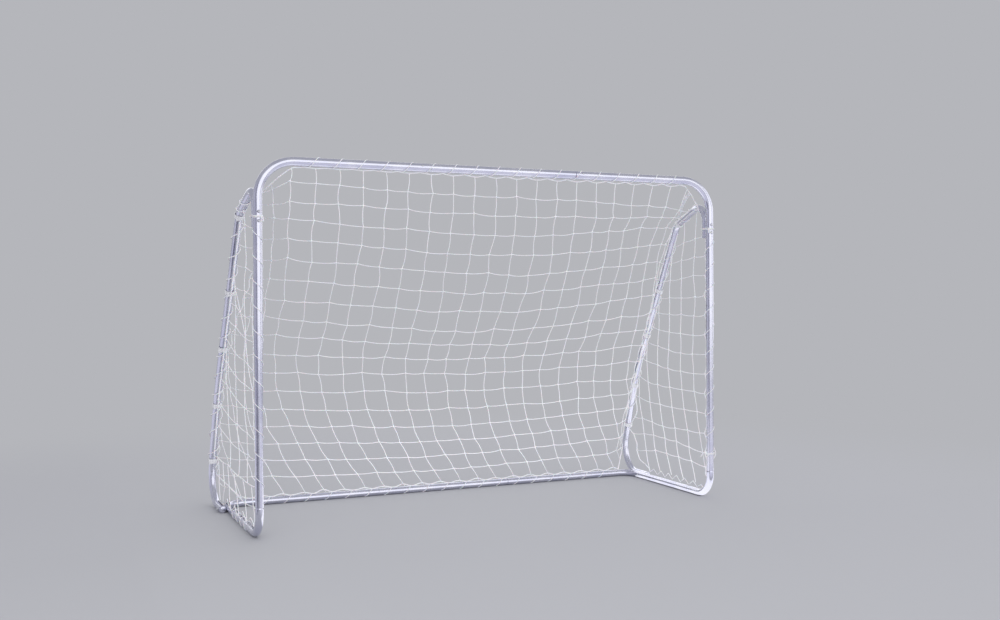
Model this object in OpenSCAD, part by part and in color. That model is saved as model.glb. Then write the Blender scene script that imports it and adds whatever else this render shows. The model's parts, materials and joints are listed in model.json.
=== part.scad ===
// Free-standing tubular soccer goal with a laced net.
// X runs along the crossbar, Y runs from the mouth to the back, Z is up and the ground is Z = 0.
// Every tube is a walk along its own centreline, and every plug joint has a spring button.

/* [Goal] */
// Outer width over the posts
goal_w = 2130; // [1500:10:2600]
// Height of the crossbar's top
goal_h = 1500; // [1300:10:1850]
// Front tubes to rear ground bar, between centrelines
base_depth = 750; // [600:10:950]

/* [Tubes] */
// Outer diameter of the crossbar and its corner tubes
frame_d = 36; // [30:1:45]
// Wall of the crossbar and its corner tubes
frame_wall = 1.7; // [1.2:0.1:2.5]
// Outer diameter of the ground tubes
base_d = 32; // [28:1:38]
// Outer diameter of the side stays
stay_d = 32; // [28:1:38]
// Wall of the posts, ground tubes and stays
thin_wall = 1.5; // [1:0.1:2]
// Radial clearance of a plug in its sleeve
plug_gap = 0.3; // [0.2:0.05:0.5]
// Length of a plug inside its sleeve
plug_len = 60; // [50:1:90]
// Length of the swaged taper just before a plug
taper_len = 5; // [3:1:12]

/* [Joints between tubes] */
// Half length of the crossbar's and rear bar's middle tubes
middle_half = 340; // [250:5:450]
// Height of the seam between a corner tube and its post
post_seam_z = 746; // [600:1:900]
// Height of the seam between a post and its ground tube
foot_seam_z = 131; // [125:1:160]
// Height of the seam in each stay
stay_seam_z = 735; // [600:1:900]

/* [Bends, to the centreline] */
// Top corners of the front frame
top_bend_r = 145; // [100:5:200]
// Foot of each post
foot_bend_r = 100; // [80:1:108]
// Rear corners of the ground frame
rear_bend_r = 75; // [50:5:120]
// Outward lean of the ground rails, in degrees
rail_splay = 0.92; // [0:0.02:2]

/* [Stays] */
// Drop from the goal's top to the lower end of a stay's hook
stay_end_drop = 278; // [240:1:320]
// Drop from the goal's top to the height where the hook starts to bend
hook_drop = 203; // [180:1:230]
// Bend of the hook over the post
hook_bend_r = 70; // [50:1:90]
// Fall of the top run behind the hook, in degrees
top_run_fall = 20; // [10:1:30]
// Length of the top run
top_run = 146; // [100:1:200]
// Bend of the shoulder
shoulder_bend_r = 90; // [60:1:120]
// Bend of the long bow above the knee
bow_bend_r = 1900; // [1200:50:2200]
// Turn of the long bow, in degrees
bow_turn = 12; // [6:1:14]
// Bend of the knee at the ground
knee_bend_r = 124; // [90:1:140]
// Distance that the knee turns level ahead of the rear bar
knee_inset = 6.8; // [0:0.2:20]
// Loss of radius where a tube is bent
bend_thin = 0.15; // [0.1:0.05:0.3]
// Length of the level run beside the rail
stay_foot_run = 105; // [95:1:130]

/* [Fasteners] */
// Bolt shank
bolt_d = 6; // [5:0.5:8]
// Bolt head
bolt_head_d = 13; // [11:0.5:16]
// Drops from the goal's top to the two bolts of each hook
bolt_drops = [220, 256];
// Distance of the lower bolt from the level run's end
foot_bolt_inset = 19; // [14:1:30]
// Clearance of a bolt or a button in its hole
hole_gap = 0.3; // [0.2:0.05:0.6]

/* [Spring buttons] */
// Pin of a spring button
button_d = 8; // [6:0.5:9]
// Height of a button above its tube
button_proud = 3; // [2:0.5:4]
// Distance of a button from its seam
button_back = 34; // [25:1:40]
// Tilt of the crossbar's buttons above the front, in degrees
button_tilt = 20; // [0:5:90]

/* [Net] */
// Twine of the net
twine_d = 3.5; // [3:0.5:5]
// Meshes across the roof and the back
columns = 20; // [14:1:24]
// Mesh of the side panels
mesh = 100; // [80:5:130]
// Rows of the roof, the upper back, the lower back and the skirt
rows = [3, 7, 5, 2];
// Rows of a side panel below the hook
side_rows = 12; // [8:1:16]

/* [Lacing and straps] */
// Lacing cord
lace_d = 4; // [3:0.5:5]
// Rise of one turn on the posts
post_pitch = 94; // [80:1:120]
// Advance of one turn on the crossbar
crossbar_pitch = 98; // [80:1:120]
// Width of a strap
strap_w = 20; // [15:1:30]
// Thickness of a strap
strap_t = 1.6; // [1:0.2:2.5]
// Angle round the left stay's shoulder to its top strap
left_shoulder_strap = 30; // [8:1:32]
// Height of each lower strap on the left stay
left_straps = [975, 728, 467, 205];
// Angle round the right stay's shoulder to its top strap
right_shoulder_strap = 8; // [8:1:32]
// Height of each lower strap on the right stay
right_straps = [980, 752, 480, 260];

/* [Hidden] */
$fn = 48;
left = -1;
right = 1;
seat = 0.3;          // clearance between pieces that rest on each other
cut = 1;             // overrun of a cutting tool
bend_reach = 0.5;    // overlap of a bend with the straight tube beside it
toe_lead = 4;        // straight tube between the knee and the level run's turn
fold_clear = 1;      // distance of a net panel's edge from its fold line
washer_t = 1.2;
nut_h = 5;
nut_af = 10;
thread_gap = 0.3;

// Tubes
post_d = frame_d - 2 * frame_wall - 2 * plug_gap;
post_x = (goal_w - frame_d) / 2;
crossbar_z = goal_h - frame_d / 2;
base_z = base_d / 2;
function bore(d, wall) = d - 2 * wall;
function plug_d(sleeve_d, sleeve_wall) = bore(sleeve_d, sleeve_wall) - 2 * plug_gap;
function plug_bore(tube_d, end_d) = bore(min(tube_d - 2 * bend_thin, end_d), thin_wall);

// Ground frame: the rail leans out, so the rear corner turns a little more than square
rear_turn = 90 + rail_splay;
rear_tangent = rear_bend_r * tan(rear_turn / 2);
rail_run = base_depth / cos(rail_splay) - foot_bend_r - rear_tangent;
rear_corner_x = post_x + base_depth * tan(rail_splay);

// Stay, in its own upright plane: h is the distance behind the post's axis
stay_end_z = goal_h - stay_end_drop;
hook_z = goal_h - hook_drop;
hook_h = (frame_d + stay_d) / 2 + seat;
run_h = hook_h + hook_bend_r * (1 + sin(top_run_fall));
run_z = hook_z + hook_bend_r * cos(top_run_fall);
shoulder_h = run_h + top_run * cos(top_run_fall);
shoulder_z = run_z - top_run * sin(top_run_fall);
knee_z = stay_d / 2 + knee_bend_r;
knee_h = base_depth - knee_inset;
bow_lead = plug_len + 2;
// Each point below depends on the slope a of the long straight run
function slope_h(a) = shoulder_h + shoulder_bend_r * (sin(a) - sin(top_run_fall));
function slope_z(a) = shoulder_z - shoulder_bend_r * (cos(top_run_fall) - cos(a));
function slope_len(a) = (slope_z(a) - stay_seam_z) / sin(a);
function bow_h(a) = slope_h(a) + (slope_len(a) + bow_lead) * cos(a);
function bow_z(a) = stay_seam_z - bow_lead * sin(a);
function low_h(a) = bow_h(a) + bow_bend_r * (sin(a + bow_turn) - sin(a));
function low_z(a) = bow_z(a) - bow_bend_r * (cos(a) - cos(a + bow_turn));
function low_len(a) = (low_z(a) - knee_z - knee_bend_r * cos(a + bow_turn)) / sin(a + bow_turn);
function landing_h(a) = low_h(a) + low_len(a) * cos(a + bow_turn) - knee_bend_r * sin(a + bow_turn);
// The slope at which the knee lands beside the rail, found by halving
function landing_slope(lo, hi, n = 40) = n == 0 ? (lo + hi) / 2
    : let (a = (lo + hi) / 2) landing_h(a) > knee_h ? landing_slope(a, hi, n - 1) : landing_slope(lo, a, n - 1);
slope = landing_slope(45, 75);
low_slope = slope + bow_turn;
// The stay's plane leans out, so that the level run lies against the outside of the rail
stay_gap = (base_d + stay_d) / 2 + seat + 0.1;
toe_h = knee_h - toe_lead - knee_bend_r * tan(asin(stay_gap / knee_h) / 2);
toe_in = asin(stay_gap / toe_h);
stay_splay = rail_splay + toe_in;
stay_back_h = knee_h + knee_bend_r + stay_d / 2;

upper_stay_steps = [[hook_z - stay_end_z], [hook_bend_r, 90 + top_run_fall, 0], [top_run],
                    [shoulder_bend_r, slope - top_run_fall, 0], [slope_len(slope) - taper_len]];
lower_stay_steps = [[bow_lead], [bow_bend_r, bow_turn, 0], [low_len(slope)],
                    [knee_bend_r, 180 - low_slope, 0], [toe_lead], [knee_bend_r, toe_in, -90],
                    [stay_foot_run]];
corner_steps = [[crossbar_z - top_bend_r - post_seam_z], [top_bend_r, 90, 0],
                [post_x - top_bend_r - middle_half]];
base_steps = [[foot_seam_z - taper_len - base_z - foot_bend_r], [foot_bend_r, 90, 0], [rail_run],
              [rear_bend_r, rear_turn, -90], [rear_corner_x - rear_tangent - middle_half]];

// Lacing: a polygon of turn_points chords clears the tube by the seat
turn_points = 12;
cord_sides = 6;
function lace_r(d) = (d / 2 + seat + lace_d / 2) / cos(180 / turn_points);
lace_reach = lace_r(frame_d) + lace_d / 2;
lace_half = post_x - top_bend_r - 10;

// The box's middle is the origin
back_reach = knee_h * cos(stay_splay) + knee_bend_r * cos(stay_splay) + stay_d / 2;
front_y = -(back_reach - lace_reach) / 2;
rear_y = front_y + base_depth;

// Net: fold lines run from stay to stay, at these distances behind the posts and heights
net_clear = strap_t + 2 * seat;
half_angle = (slope + top_run_fall) / 2;
fold_h = [0,
          shoulder_h + shoulder_bend_r * (sin(half_angle) - sin(top_run_fall)),
          bow_h(slope),
          low_h(slope) + 0.55 * low_len(slope) * cos(low_slope)];
fold_z = [crossbar_z,
          shoulder_z - shoulder_bend_r * (cos(top_run_fall) - cos(half_angle)),
          bow_z(slope),
          low_z(slope) - 0.55 * low_len(slope) * sin(low_slope)];
function fold_half(h) = post_x + h * sin(stay_splay) - (stay_d / 2 + net_clear) / cos(stay_splay);
roof_angle = atan2(fold_z[1] - fold_z[0], fold_h[1] * cos(stay_splay));
roof_from = lace_reach + seat;
skirt_z = base_d + seat + twine_d / 2;
skirt_half = rear_corner_x - rear_tangent;

// Side panel: its back edge follows the inside of the stay
side_bottom = base_d + seat;
side_top = stay_end_z - 2 * seat - strap_t;
hook_top = shoulder_z - stay_d / 2 / cos(top_run_fall) - 4 * net_clear;
side_front = lace_reach + seat;
nut_reach = washer_t + nut_h + nut_af / 2;
hook_front = hook_h + stay_d / 2 + seat + nut_reach + 1;
inner_off = stay_d / 2 + net_clear;
function on_arc(c_h, c_z, r, z) = c_h + sqrt(max(0, r * r - (z - c_z) * (z - c_z)));
function stay_front_h(z) =
    z > slope_z(slope) + inner_off * cos(slope) * -1 ? on_arc(shoulder_h - shoulder_bend_r * sin(top_run_fall),
        shoulder_z - shoulder_bend_r * cos(top_run_fall), shoulder_bend_r - inner_off, z) :
    z > bow_z(slope) ? slope_h(slope) + (slope_z(slope) - z) / tan(slope) - inner_off / sin(slope) :
    z > low_z(slope) ? on_arc(low_h(slope) - bow_bend_r * sin(low_slope),
        low_z(slope) - bow_bend_r * cos(low_slope), bow_bend_r - inner_off, z) :
    z > knee_z ? low_h(slope) + (low_z(slope) - z) / tan(low_slope) - inner_off / sin(low_slope) :
    on_arc(knee_h, knee_z, knee_bend_r - inner_off, z);

// Its front edge follows the post's lacing, and the inside of the foot bend below
foot_in_r = foot_bend_r - base_d / 2 - 2 * seat;
function side_front_h(z) = let (dz = max(0, base_z + foot_bend_r - z))
    max(side_front, foot_bend_r - sqrt(max(0, foot_in_r * foot_in_r - dz * dz)));

// Steps along a centreline: [length] runs straight, [radius, angle, roll] bends towards local X
module walk(steps, d, i = 0) {
    if (i < len(steps)) {
        step = steps[i];
        if (len(step) == 1) {
            cylinder(d = d, h = step[0]);
            translate([0, 0, step[0]]) walk(steps, d, i + 1);
        } else rotate([0, 0, step[2]]) {
            into = bend_reach / step[0] * 180 / PI;
            turn(step[0], -into) translate([step[0], 0, 0]) rotate([90, 0, 180])
                rotate_extrude(angle = step[1] + 2 * into)
                    translate([step[0], 0]) circle(d = d - 2 * bend_thin);
            turn(step[0], step[1]) walk(steps, d, i + 1);
        }
    }
}

module turn(r, angle) {
    translate([r, 0, 0]) rotate([0, angle, 0]) translate([-r, 0, 0]) children();
}

// Places its children at the end of a centreline
module follow(steps, i = 0) {
    if (i < len(steps)) {
        step = steps[i];
        if (len(step) == 1) translate([0, 0, step[0]]) follow(steps, i + 1) children();
        else rotate([0, 0, step[2]]) turn(step[0], step[1]) follow(steps, i + 1) children();
    } else children();
}

module bent_tube(steps, d, wall) {
    difference() {
        walk(steps, d);
        walk(steps, bore(d, wall));
        translate([0, 0, -cut]) cylinder(d = bore(d, wall), h = 2 * cut);
        follow(steps) translate([0, 0, -cut]) cylinder(d = bore(d, wall), h = 2 * cut);
    }
}

// Swaged end of a tube: it tapers below the seam and goes up into the sleeve
module plug(tube_d, end_d) {
    root = 2;
    difference() {
        union() {
            translate([0, 0, -taper_len - root])
                cylinder(d = tube_d - 2 * bend_thin, h = root);
            translate([0, 0, -taper_len])
                cylinder(d1 = tube_d - 2 * bend_thin, d2 = end_d, h = taper_len);
            cylinder(d = end_d, h = plug_len);
        }
        translate([0, 0, -taper_len - root - cut])
            cylinder(d = plug_bore(tube_d, end_d), h = plug_len + taper_len + root + 2 * cut);
    }
}

module sided(side) {
    if (side < 0) mirror([1, 0, 0]) children();
    else children();
}

module at_post() {
    translate([post_x, front_y, 0]) children();
}

module in_stay_plane() {
    at_post() rotate([0, 0, 90 - stay_splay]) children();
}

module at_stay_start() {
    in_stay_plane() translate([hook_h, 0, stay_end_z]) children();
}

module at_stay_seam() {
    at_stay_start() follow(upper_stay_steps) translate([0, 0, taper_len]) children();
}

// Seams: local Z points into the sleeve and local X to the button
module at_crossbar_seam() {
    translate([middle_half, front_y, crossbar_z]) rotate([-90 - button_tilt, 0, 0]) rotate([0, 90, 0])
        children();
}

module at_rear_seam() {
    translate([middle_half, rear_y, base_z]) rotate([90, 0, 0]) rotate([0, 90, 0]) children();
}

module at_post_seam() {
    at_post() translate([0, 0, post_seam_z]) rotate([0, 0, 90]) children();
}

module at_foot_seam() {
    at_post() translate([0, 0, foot_seam_z]) rotate([0, 0, 90]) children();
}

module at_stay_button() {
    at_stay_seam() rotate([0, 0, 180]) children();
}

// Hole through the near walls for a button's pin
module button_hole() {
    translate([0, 0, button_back]) rotate([0, 90, 0]) cylinder(d = button_d + 2 * hole_gap, h = frame_d);
}

// Front frame
module crossbar_middle() {
    color("silver") difference() {
        union() {
            translate([-middle_half + taper_len, front_y, crossbar_z]) rotate([0, 90, 0])
                bent_tube([[2 * (middle_half - taper_len)]], frame_d, frame_wall);
            for (side = [left, right]) sided(side)
                at_crossbar_seam() plug(frame_d, plug_d(frame_d, frame_wall));
        }
        for (side = [left, right]) sided(side) at_crossbar_seam() button_hole();
    }
}

module corner(side) {
    color("silver") sided(side) difference() {
        at_post() translate([0, 0, post_seam_z]) rotate([0, 0, 180])
            bent_tube(corner_steps, frame_d, frame_wall);
        at_crossbar_seam() button_hole();
        at_post_seam() button_hole();
        hook_bolt_holes();
    }
}

module post(side) {
    color("silver") sided(side) difference() {
        at_post() translate([0, 0, foot_seam_z])
            bent_tube([[post_seam_z - foot_seam_z + plug_len]], post_d, thin_wall);
        at_post_seam() button_hole();
        at_foot_seam() button_hole();
    }
}

// Ground frame
module base(side) {
    color("silver") sided(side) difference() {
        union() {
            at_post() rotate([0, 0, -rail_splay]) translate([0, 0, foot_seam_z - taper_len])
                rotate([180, 0, 90]) bent_tube(base_steps, base_d, thin_wall);
            at_foot_seam() plug(base_d, plug_d(post_d, thin_wall));
        }
        at_foot_seam() button_hole();
        at_rear_seam() button_hole();
        foot_bolt_hole();
    }
}

module rear_bar_middle() {
    color("silver") difference() {
        union() {
            translate([-middle_half + taper_len, rear_y, base_z]) rotate([0, 90, 0])
                bent_tube([[2 * (middle_half - taper_len)]], base_d, thin_wall);
            for (side = [left, right]) sided(side)
                at_rear_seam() plug(base_d, plug_d(base_d, thin_wall));
        }
        for (side = [left, right]) sided(side) at_rear_seam() button_hole();
    }
}

// Stays
module stay_upper(side) {
    color("gainsboro") sided(side) difference() {
        union() {
            at_stay_start() bent_tube(upper_stay_steps, stay_d, thin_wall);
            at_stay_seam() plug(stay_d, plug_d(stay_d, thin_wall));
        }
        at_stay_button() button_hole();
        hook_bolt_holes();
    }
}

module stay_lower(side) {
    color("gainsboro") sided(side) difference() {
        at_stay_seam() bent_tube(lower_stay_steps, stay_d, thin_wall);
        at_stay_button() button_hole();
        foot_bolt_hole();
    }
}

// Bolts: local Z points from the head to the nut, and Z = 0 is where the head seats
hook_grip = frame_d / 2 + hook_h + stay_d / 2 + 2 * seat;
foot_grip = base_d / 2 + stay_gap + stay_d / 2 + 2 * seat;

module at_hook_bolts() {
    in_stay_plane() for (drop = bolt_drops)
        translate([-frame_d / 2 - seat, 0, goal_h - drop]) rotate([0, 90, 0]) children();
}

module at_foot_bolt() {
    at_stay_seam() follow(lower_stay_steps)
        translate([-stay_gap - base_d / 2 - seat, 0, -foot_bolt_inset]) rotate([0, 90, 0]) children();
}

module hook_bolt_holes() {
    at_hook_bolts() cylinder(d = bolt_d + 2 * hole_gap, h = hook_grip);
}

module foot_bolt_hole() {
    at_foot_bolt() cylinder(d = bolt_d + 2 * hole_gap, h = foot_grip);
}

// Mushroom head and shank
module bolt(grip) {
    head_h = 4;
    head_r = (bolt_head_d * bolt_head_d / 4 + head_h * head_h) / (2 * head_h);
    intersection() {
        translate([0, 0, head_r - head_h]) sphere(r = head_r);
        translate([0, 0, -head_h]) cylinder(d = bolt_head_d, h = head_h);
    }
    cylinder(d = bolt_d, h = grip + washer_t + nut_h - 1);
}

module washer(grip) {
    translate([0, 0, grip]) difference() {
        cylinder(d = 2 * bolt_d, h = washer_t);
        translate([0, 0, -cut]) cylinder(d = bolt_d + 2 * hole_gap, h = washer_t + 2 * cut);
    }
}

// Hexagon nut with a domed cap
module cap_nut(grip) {
    dome_d = nut_af - 1;
    translate([0, 0, grip + washer_t]) difference() {
        union() {
            cylinder(d = nut_af / cos(30), h = nut_h, $fn = 6);
            translate([0, 0, nut_h]) intersection() {
                sphere(d = dome_d);
                cylinder(d = nut_af, h = nut_af);
            }
        }
        translate([0, 0, -cut]) cylinder(d = bolt_d + 2 * thread_gap, h = nut_h + cut);
    }
}

module stay_bolts() {
    color("lightgray") for (side = [left, right]) sided(side) at_hook_bolts() bolt(hook_grip);
}

module stay_washers() {
    color("gray") for (side = [left, right]) sided(side) at_hook_bolts() washer(hook_grip);
}

module stay_nuts() {
    color("lightgray") for (side = [left, right]) sided(side) at_hook_bolts() cap_nut(hook_grip);
}

module base_bolts() {
    color("lightgray") for (side = [left, right]) sided(side) at_foot_bolt() bolt(foot_grip);
}

module base_washers() {
    color("gray") for (side = [left, right]) sided(side) at_foot_bolt() washer(foot_grip);
}

module base_nuts() {
    color("lightgray") for (side = [left, right]) sided(side) at_foot_bolt() cap_nut(foot_grip);
}

// Spring button: a round-nosed pin, with a flange that stops it inside the plug's bore
flange_d = button_d + 3;
flange_t = 1.5;
leaf_t = 0.8;
function flange_x(in_d) = sqrt(in_d * in_d - flange_d * flange_d) / 2 - seat;

module button(sleeve_d, in_d) {
    color("white") translate([0, 0, button_back]) rotate([0, 90, 0]) {
        nose = sleeve_d / 2 + button_proud - button_d / 2;
        translate([0, 0, flange_x(in_d) - flange_t]) {
            cylinder(d = flange_d, h = flange_t);
            cylinder(d = button_d, h = nose - flange_x(in_d) + flange_t);
        }
        translate([0, 0, nose]) sphere(d = button_d);
    }
}

// Bent leaf that pushes the button out: one leg lies on the far wall, the other ends at the flange
module leaf_spring(in_d, far_d) {
    leaf_w = 8;
    far = sqrt(far_d * far_d - leaf_w * leaf_w) / 2 - seat;
    bend_z = -button_back;
    tip_z = button_back - flange_d / 2 - seat;
    tip_x = flange_x(in_d) - flange_t;
    rotate([90, 0, 0]) linear_extrude(leaf_w, center = true)
        polygon([[-far, button_back], [-far, bend_z], [-far + 2 * leaf_t, bend_z - leaf_t],
                 [-far + 3 * leaf_t, bend_z], [tip_x, tip_z - leaf_t], [tip_x - leaf_t, tip_z],
                 [-far + 2 * leaf_t, bend_z + 2 * leaf_t], [-far + leaf_t, bend_z + 4 * leaf_t],
                 [-far + leaf_t, button_back]]);
}

module snap_springs() {
    crossbar_in = plug_bore(frame_d, plug_d(frame_d, frame_wall));
    post_in = bore(post_d, thin_wall);
    foot_in = plug_bore(base_d, plug_d(post_d, thin_wall));
    rear_in = plug_bore(base_d, plug_d(base_d, thin_wall));
    stay_in = plug_bore(stay_d, plug_d(stay_d, thin_wall));
    // The foot's leaf reaches down into the foot bend, whose wall leans in by the dip
    into_bend = max(0, button_back - (foot_seam_z - base_z - foot_bend_r));
    dip = into_bend * into_bend / (2 * foot_bend_r);
    color("dimgray") for (side = [left, right]) sided(side) {
        at_crossbar_seam() leaf_spring(crossbar_in, crossbar_in);
        at_post_seam() leaf_spring(post_in, post_in);
        at_foot_seam() leaf_spring(foot_in, min(foot_in, bore(base_d, thin_wall) - 2 * dip + seat));
        at_rear_seam() leaf_spring(rear_in, rear_in);
        at_stay_button() leaf_spring(stay_in, stay_in);
    }
}

module button_crossbar(side) {
    sided(side) at_crossbar_seam() button(frame_d, plug_bore(frame_d, plug_d(frame_d, frame_wall)));
}

module button_post(side) {
    sided(side) at_post_seam() button(frame_d, bore(post_d, thin_wall));
}

module button_foot(side) {
    sided(side) at_foot_seam() button(post_d, plug_bore(base_d, plug_d(post_d, thin_wall)));
}

module button_rear(side) {
    sided(side) at_rear_seam() button(base_d, plug_bore(base_d, plug_d(base_d, thin_wall)));
}

module button_stay(side) {
    sided(side) at_stay_button() button(stay_d, plug_bore(stay_d, plug_d(stay_d, thin_wall)));
}

// Net panel between two level lines: half widths at its ends, and its length along the slope
module net_panel(half_a, half_b, length, row_count) {
    t = twine_d / 2;
    function knot(i, j) = let (v = j / row_count, half = half_a + (half_b - half_a) * v)
        [-half + 2 * half * i / columns, length * v];
    linear_extrude(twine_d, center = true) difference() {
        polygon([[-half_a, 0], [half_a, 0], [half_b, length], [-half_b, length]]);
        for (j = [0 : row_count - 1], i = [0 : columns - 1]) {
            left_t = i == 0 ? 2 * t : t;
            right_t = i == columns - 1 ? 2 * t : t;
            low_t = j == 0 ? 2 * t : t;
            high_t = j == row_count - 1 ? 2 * t : t;
            polygon([knot(i, j) + [left_t, low_t], knot(i + 1, j) + [-right_t, low_t],
                     knot(i + 1, j + 1) + [-right_t, -high_t], knot(i, j + 1) + [left_t, -high_t]]);
        }
    }
}

// Panel from one fold line to the next, kept clear of both
module folded_panel(from, to, half_a, half_b, row_count, start = fold_clear) {
    run = to - from;
    length = norm(run);
    translate([0, front_y + from[0], from[1]]) rotate([atan2(run[1], run[0]), 0, 0])
        translate([0, start, 0]) net_panel(half_a, half_b, length - start - fold_clear, row_count);
}

function fold(i) = [fold_h[i] * cos(stay_splay), fold_z[i]];

module net_roof() {
    color("white") folded_panel(fold(0), fold(1), lace_half, fold_half(fold_h[1]), rows[0], roof_from);
}

module net_back_upper() {
    color("white") folded_panel(fold(1), fold(2), fold_half(fold_h[1]), fold_half(fold_h[2]), rows[1]);
}

module net_back_lower() {
    color("white") folded_panel(fold(2), fold(3), fold_half(fold_h[2]), fold_half(fold_h[3]), rows[2]);
}

module net_skirt() {
    color("white") folded_panel(fold(3), [base_depth, skirt_z], fold_half(fold_h[3]), skirt_half, rows[3]);
}

// Side panel, drawn with h to the right and z up
module side_net(side) {
    row_h = (side_top - side_bottom) / side_rows;
    levels = concat([for (j = [0 : side_rows]) side_bottom + j * row_h], [hook_top]);
    foot_levels = [for (k = [0 : 6]) side_bottom + k * row_h / 6];
    function front_h(j, z) = j < side_rows ? side_front_h(z) : hook_front;
    color("white") sided(side) in_stay_plane() rotate([90, 0, 0]) linear_extrude(twine_d, center = true)
        difference() {
            polygon(concat([for (z = levels) [stay_front_h(z), z]],
                           [[hook_front, hook_top], [hook_front, side_top], [side_front, side_top]],
                           [for (k = [6 : -1 : 0]) [side_front_h(foot_levels[k]), foot_levels[k]]]));
            for (j = [0 : side_rows]) {
                low = levels[j] + (j == 0 ? twine_d : twine_d / 2);
                high = levels[j + 1] - (j == side_rows ? twine_d : twine_d / 2);
                low_end = stay_front_h(low) - 1.5 * twine_d;
                high_end = stay_front_h(high) - 1.5 * twine_d;
                start = j < side_rows ? side_front : hook_front;
                count = max(1, floor((min(low_end, high_end) - start) / mesh + 0.4));
                // The first hole's front side has a point at each of these shares of its height
                shares = j == 0 ? [0, 0.15, 0.3, 0.5, 0.75, 1] : [0, 1];
                first = [for (v = shares) let (z = low + (high - low) * v) [front_h(j, z) + 1.5 * twine_d, z]];
                for (i = [0 : count - 1]) {
                    from = start + i * mesh + twine_d / 2;
                    to = start + (i + 1) * mesh - twine_d / 2;
                    hole_front = i == 0 ? first : [[from, low], [from, high]];
                    hole_back = i < count - 1 ? [[to, high], [to, low]] : [[high_end, high], [low_end, low]];
                    polygon(concat(hole_front, hole_back));
                }
            }
        }
}

// Cord swept along a helix: each ring lies across the path
function ring(p, radial, along, d) =
    let (side_dir = cross(along / norm(along), radial))
    [for (k = [0 : cord_sides - 1]) let (q = 360 * k / cord_sides) p + d / 2 * (cos(q) * radial + sin(q) * side_dir)];

module cord(points, radials) {
    n = len(points);
    m = cord_sides;
    rings = [for (i = [0 : n - 1])
        ring(points[i], radials[i], points[min(i + 1, n - 1)] - points[max(i - 1, 0)], lace_d)];
    walls = [for (i = [0 : n - 2], k = [0 : m - 1]) let (a = i * m + k, b = i * m + (k + 1) % m)
        each [[a, a + m, b], [b, a + m, b + m]]];
    first_cap = [for (k = [1 : m - 2]) [0, k, k + 1]];
    last_cap = [for (k = [1 : m - 2]) [(n - 1) * m, (n - 1) * m + k + 1, (n - 1) * m + k]];
    polyhedron([for (r = rings) each r], concat(walls, first_cap, last_cap));
}

// Least distance between a cord's surfaces one turn apart
function least_gap(points) = min([for (i = [0 : len(points) - turn_points - 1])
    norm(points[i + turn_points] - points[i])]) - lace_d;

// Crossbar lacing: it rises across the front from left to right
lace_shift = -42;
crossbar_turns = floor(2 * lace_half / crossbar_pitch);
crossbar_lace = [for (i = [0 : crossbar_turns * turn_points])
    let (x = -crossbar_turns * crossbar_pitch / 2 + i * crossbar_pitch / turn_points)
    [x, 360 * (x - lace_shift) / crossbar_pitch]];
function crossbar_radial(a) = [0, -cos(a), sin(a)];
crossbar_points = [for (s = crossbar_lace)
    [s[0], front_y, crossbar_z] + lace_r(frame_d) * crossbar_radial(s[1])];

module lace_crossbar() {
    color("white") cord(crossbar_points, [for (s = crossbar_lace) crossbar_radial(s[1])]);
}

// Post lacing: it drops across the front towards the mouth, and draws in below the seam
post_lace_top = stay_end_z - 15;
post_lace_low = foot_seam_z + 15;
first_front_z = goal_h - 325;
seam_ease = 40;
post_turns = floor((post_lace_top - post_lace_low) / post_pitch);
function post_lace_r(z) = let (low = lace_r(post_d), high = lace_r(frame_d),
    share = max(0, min(1, (z - post_seam_z + lace_d + seam_ease) / seam_ease)))
    low + (high - low) * share;
post_lace = [for (i = [0 : post_turns * turn_points])
    let (z = post_lace_top - i * post_pitch / turn_points) [z, 360 * (z - first_front_z) / post_pitch]];
function post_radial(a) = [sin(a), -cos(a), 0];
post_points = [for (s = post_lace) [post_x, front_y, s[0]] + post_lace_r(s[0]) * post_radial(s[1])];

module lace_post(side) {
    color("white") sided(side) cord(post_points, [for (s = post_lace) post_radial(s[1])]);
}

echo(crossbar_lace_gap = least_gap(crossbar_points), post_lace_gap = least_gap(post_points));

// Strap round a stay, with its free tail lying off the outside
module strap() {
    inner = stay_d / 2 + seat;
    tail = 16;
    translate([0, 0, -strap_w / 2]) difference() {
        union() {
            cylinder(r = inner + strap_t, h = strap_w);
            translate([-inner - strap_t, -tail, 0]) cube([strap_t, tail, strap_w]);
        }
        translate([0, 0, -cut]) cylinder(r = inner, h = strap_w + 2 * cut);
    }
}

// Point and slope of the stay at a height below its shoulder
function stay_h(z) = z > bow_z(slope) ? slope_h(slope) + (slope_z(slope) - z) / tan(slope)
    : z > low_z(slope) ? on_arc(low_h(slope) - bow_bend_r * sin(low_slope),
        low_z(slope) - bow_bend_r * cos(low_slope), bow_bend_r, z)
    : low_h(slope) + (low_z(slope) - z) / tan(low_slope);
function stay_lean(z) = z > bow_z(slope) ? slope
    : z > low_z(slope) ? acos((z - low_z(slope) + bow_bend_r * cos(low_slope)) / bow_bend_r) : low_slope;

// The top strap lies round the shoulder bend
module shoulder_strap(angle) {
    inner = stay_d / 2 + seat;
    half = strap_w / shoulder_bend_r * 90 / PI;
    tail = 16;
    translate([shoulder_h, 0, shoulder_z]) rotate([0, 90 + top_run_fall, 0])
        turn(shoulder_bend_r, angle - half) difference() {
            union() {
                bend_ring(inner + strap_t, 2 * half);
                turn(shoulder_bend_r, half) translate([-inner - strap_t + bend_thin, -tail, -strap_w / 2])
                    cube([strap_t, tail, strap_w]);
            }
            turn(shoulder_bend_r, -half) bend_ring(inner, 4 * half);
        }
}

module bend_ring(r, angle) {
    translate([shoulder_bend_r, 0, 0]) rotate([90, 0, 180]) rotate_extrude(angle = angle)
        translate([shoulder_bend_r, 0]) circle(r = r);
}

module straps(side, shoulder_angle, heights) {
    color("white") sided(side) in_stay_plane() {
        shoulder_strap(shoulder_angle);
        for (z = heights)
            translate([stay_h(z), 0, z]) rotate([0, 90 + stay_lean(z), 0]) strap();
    }
}

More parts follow.
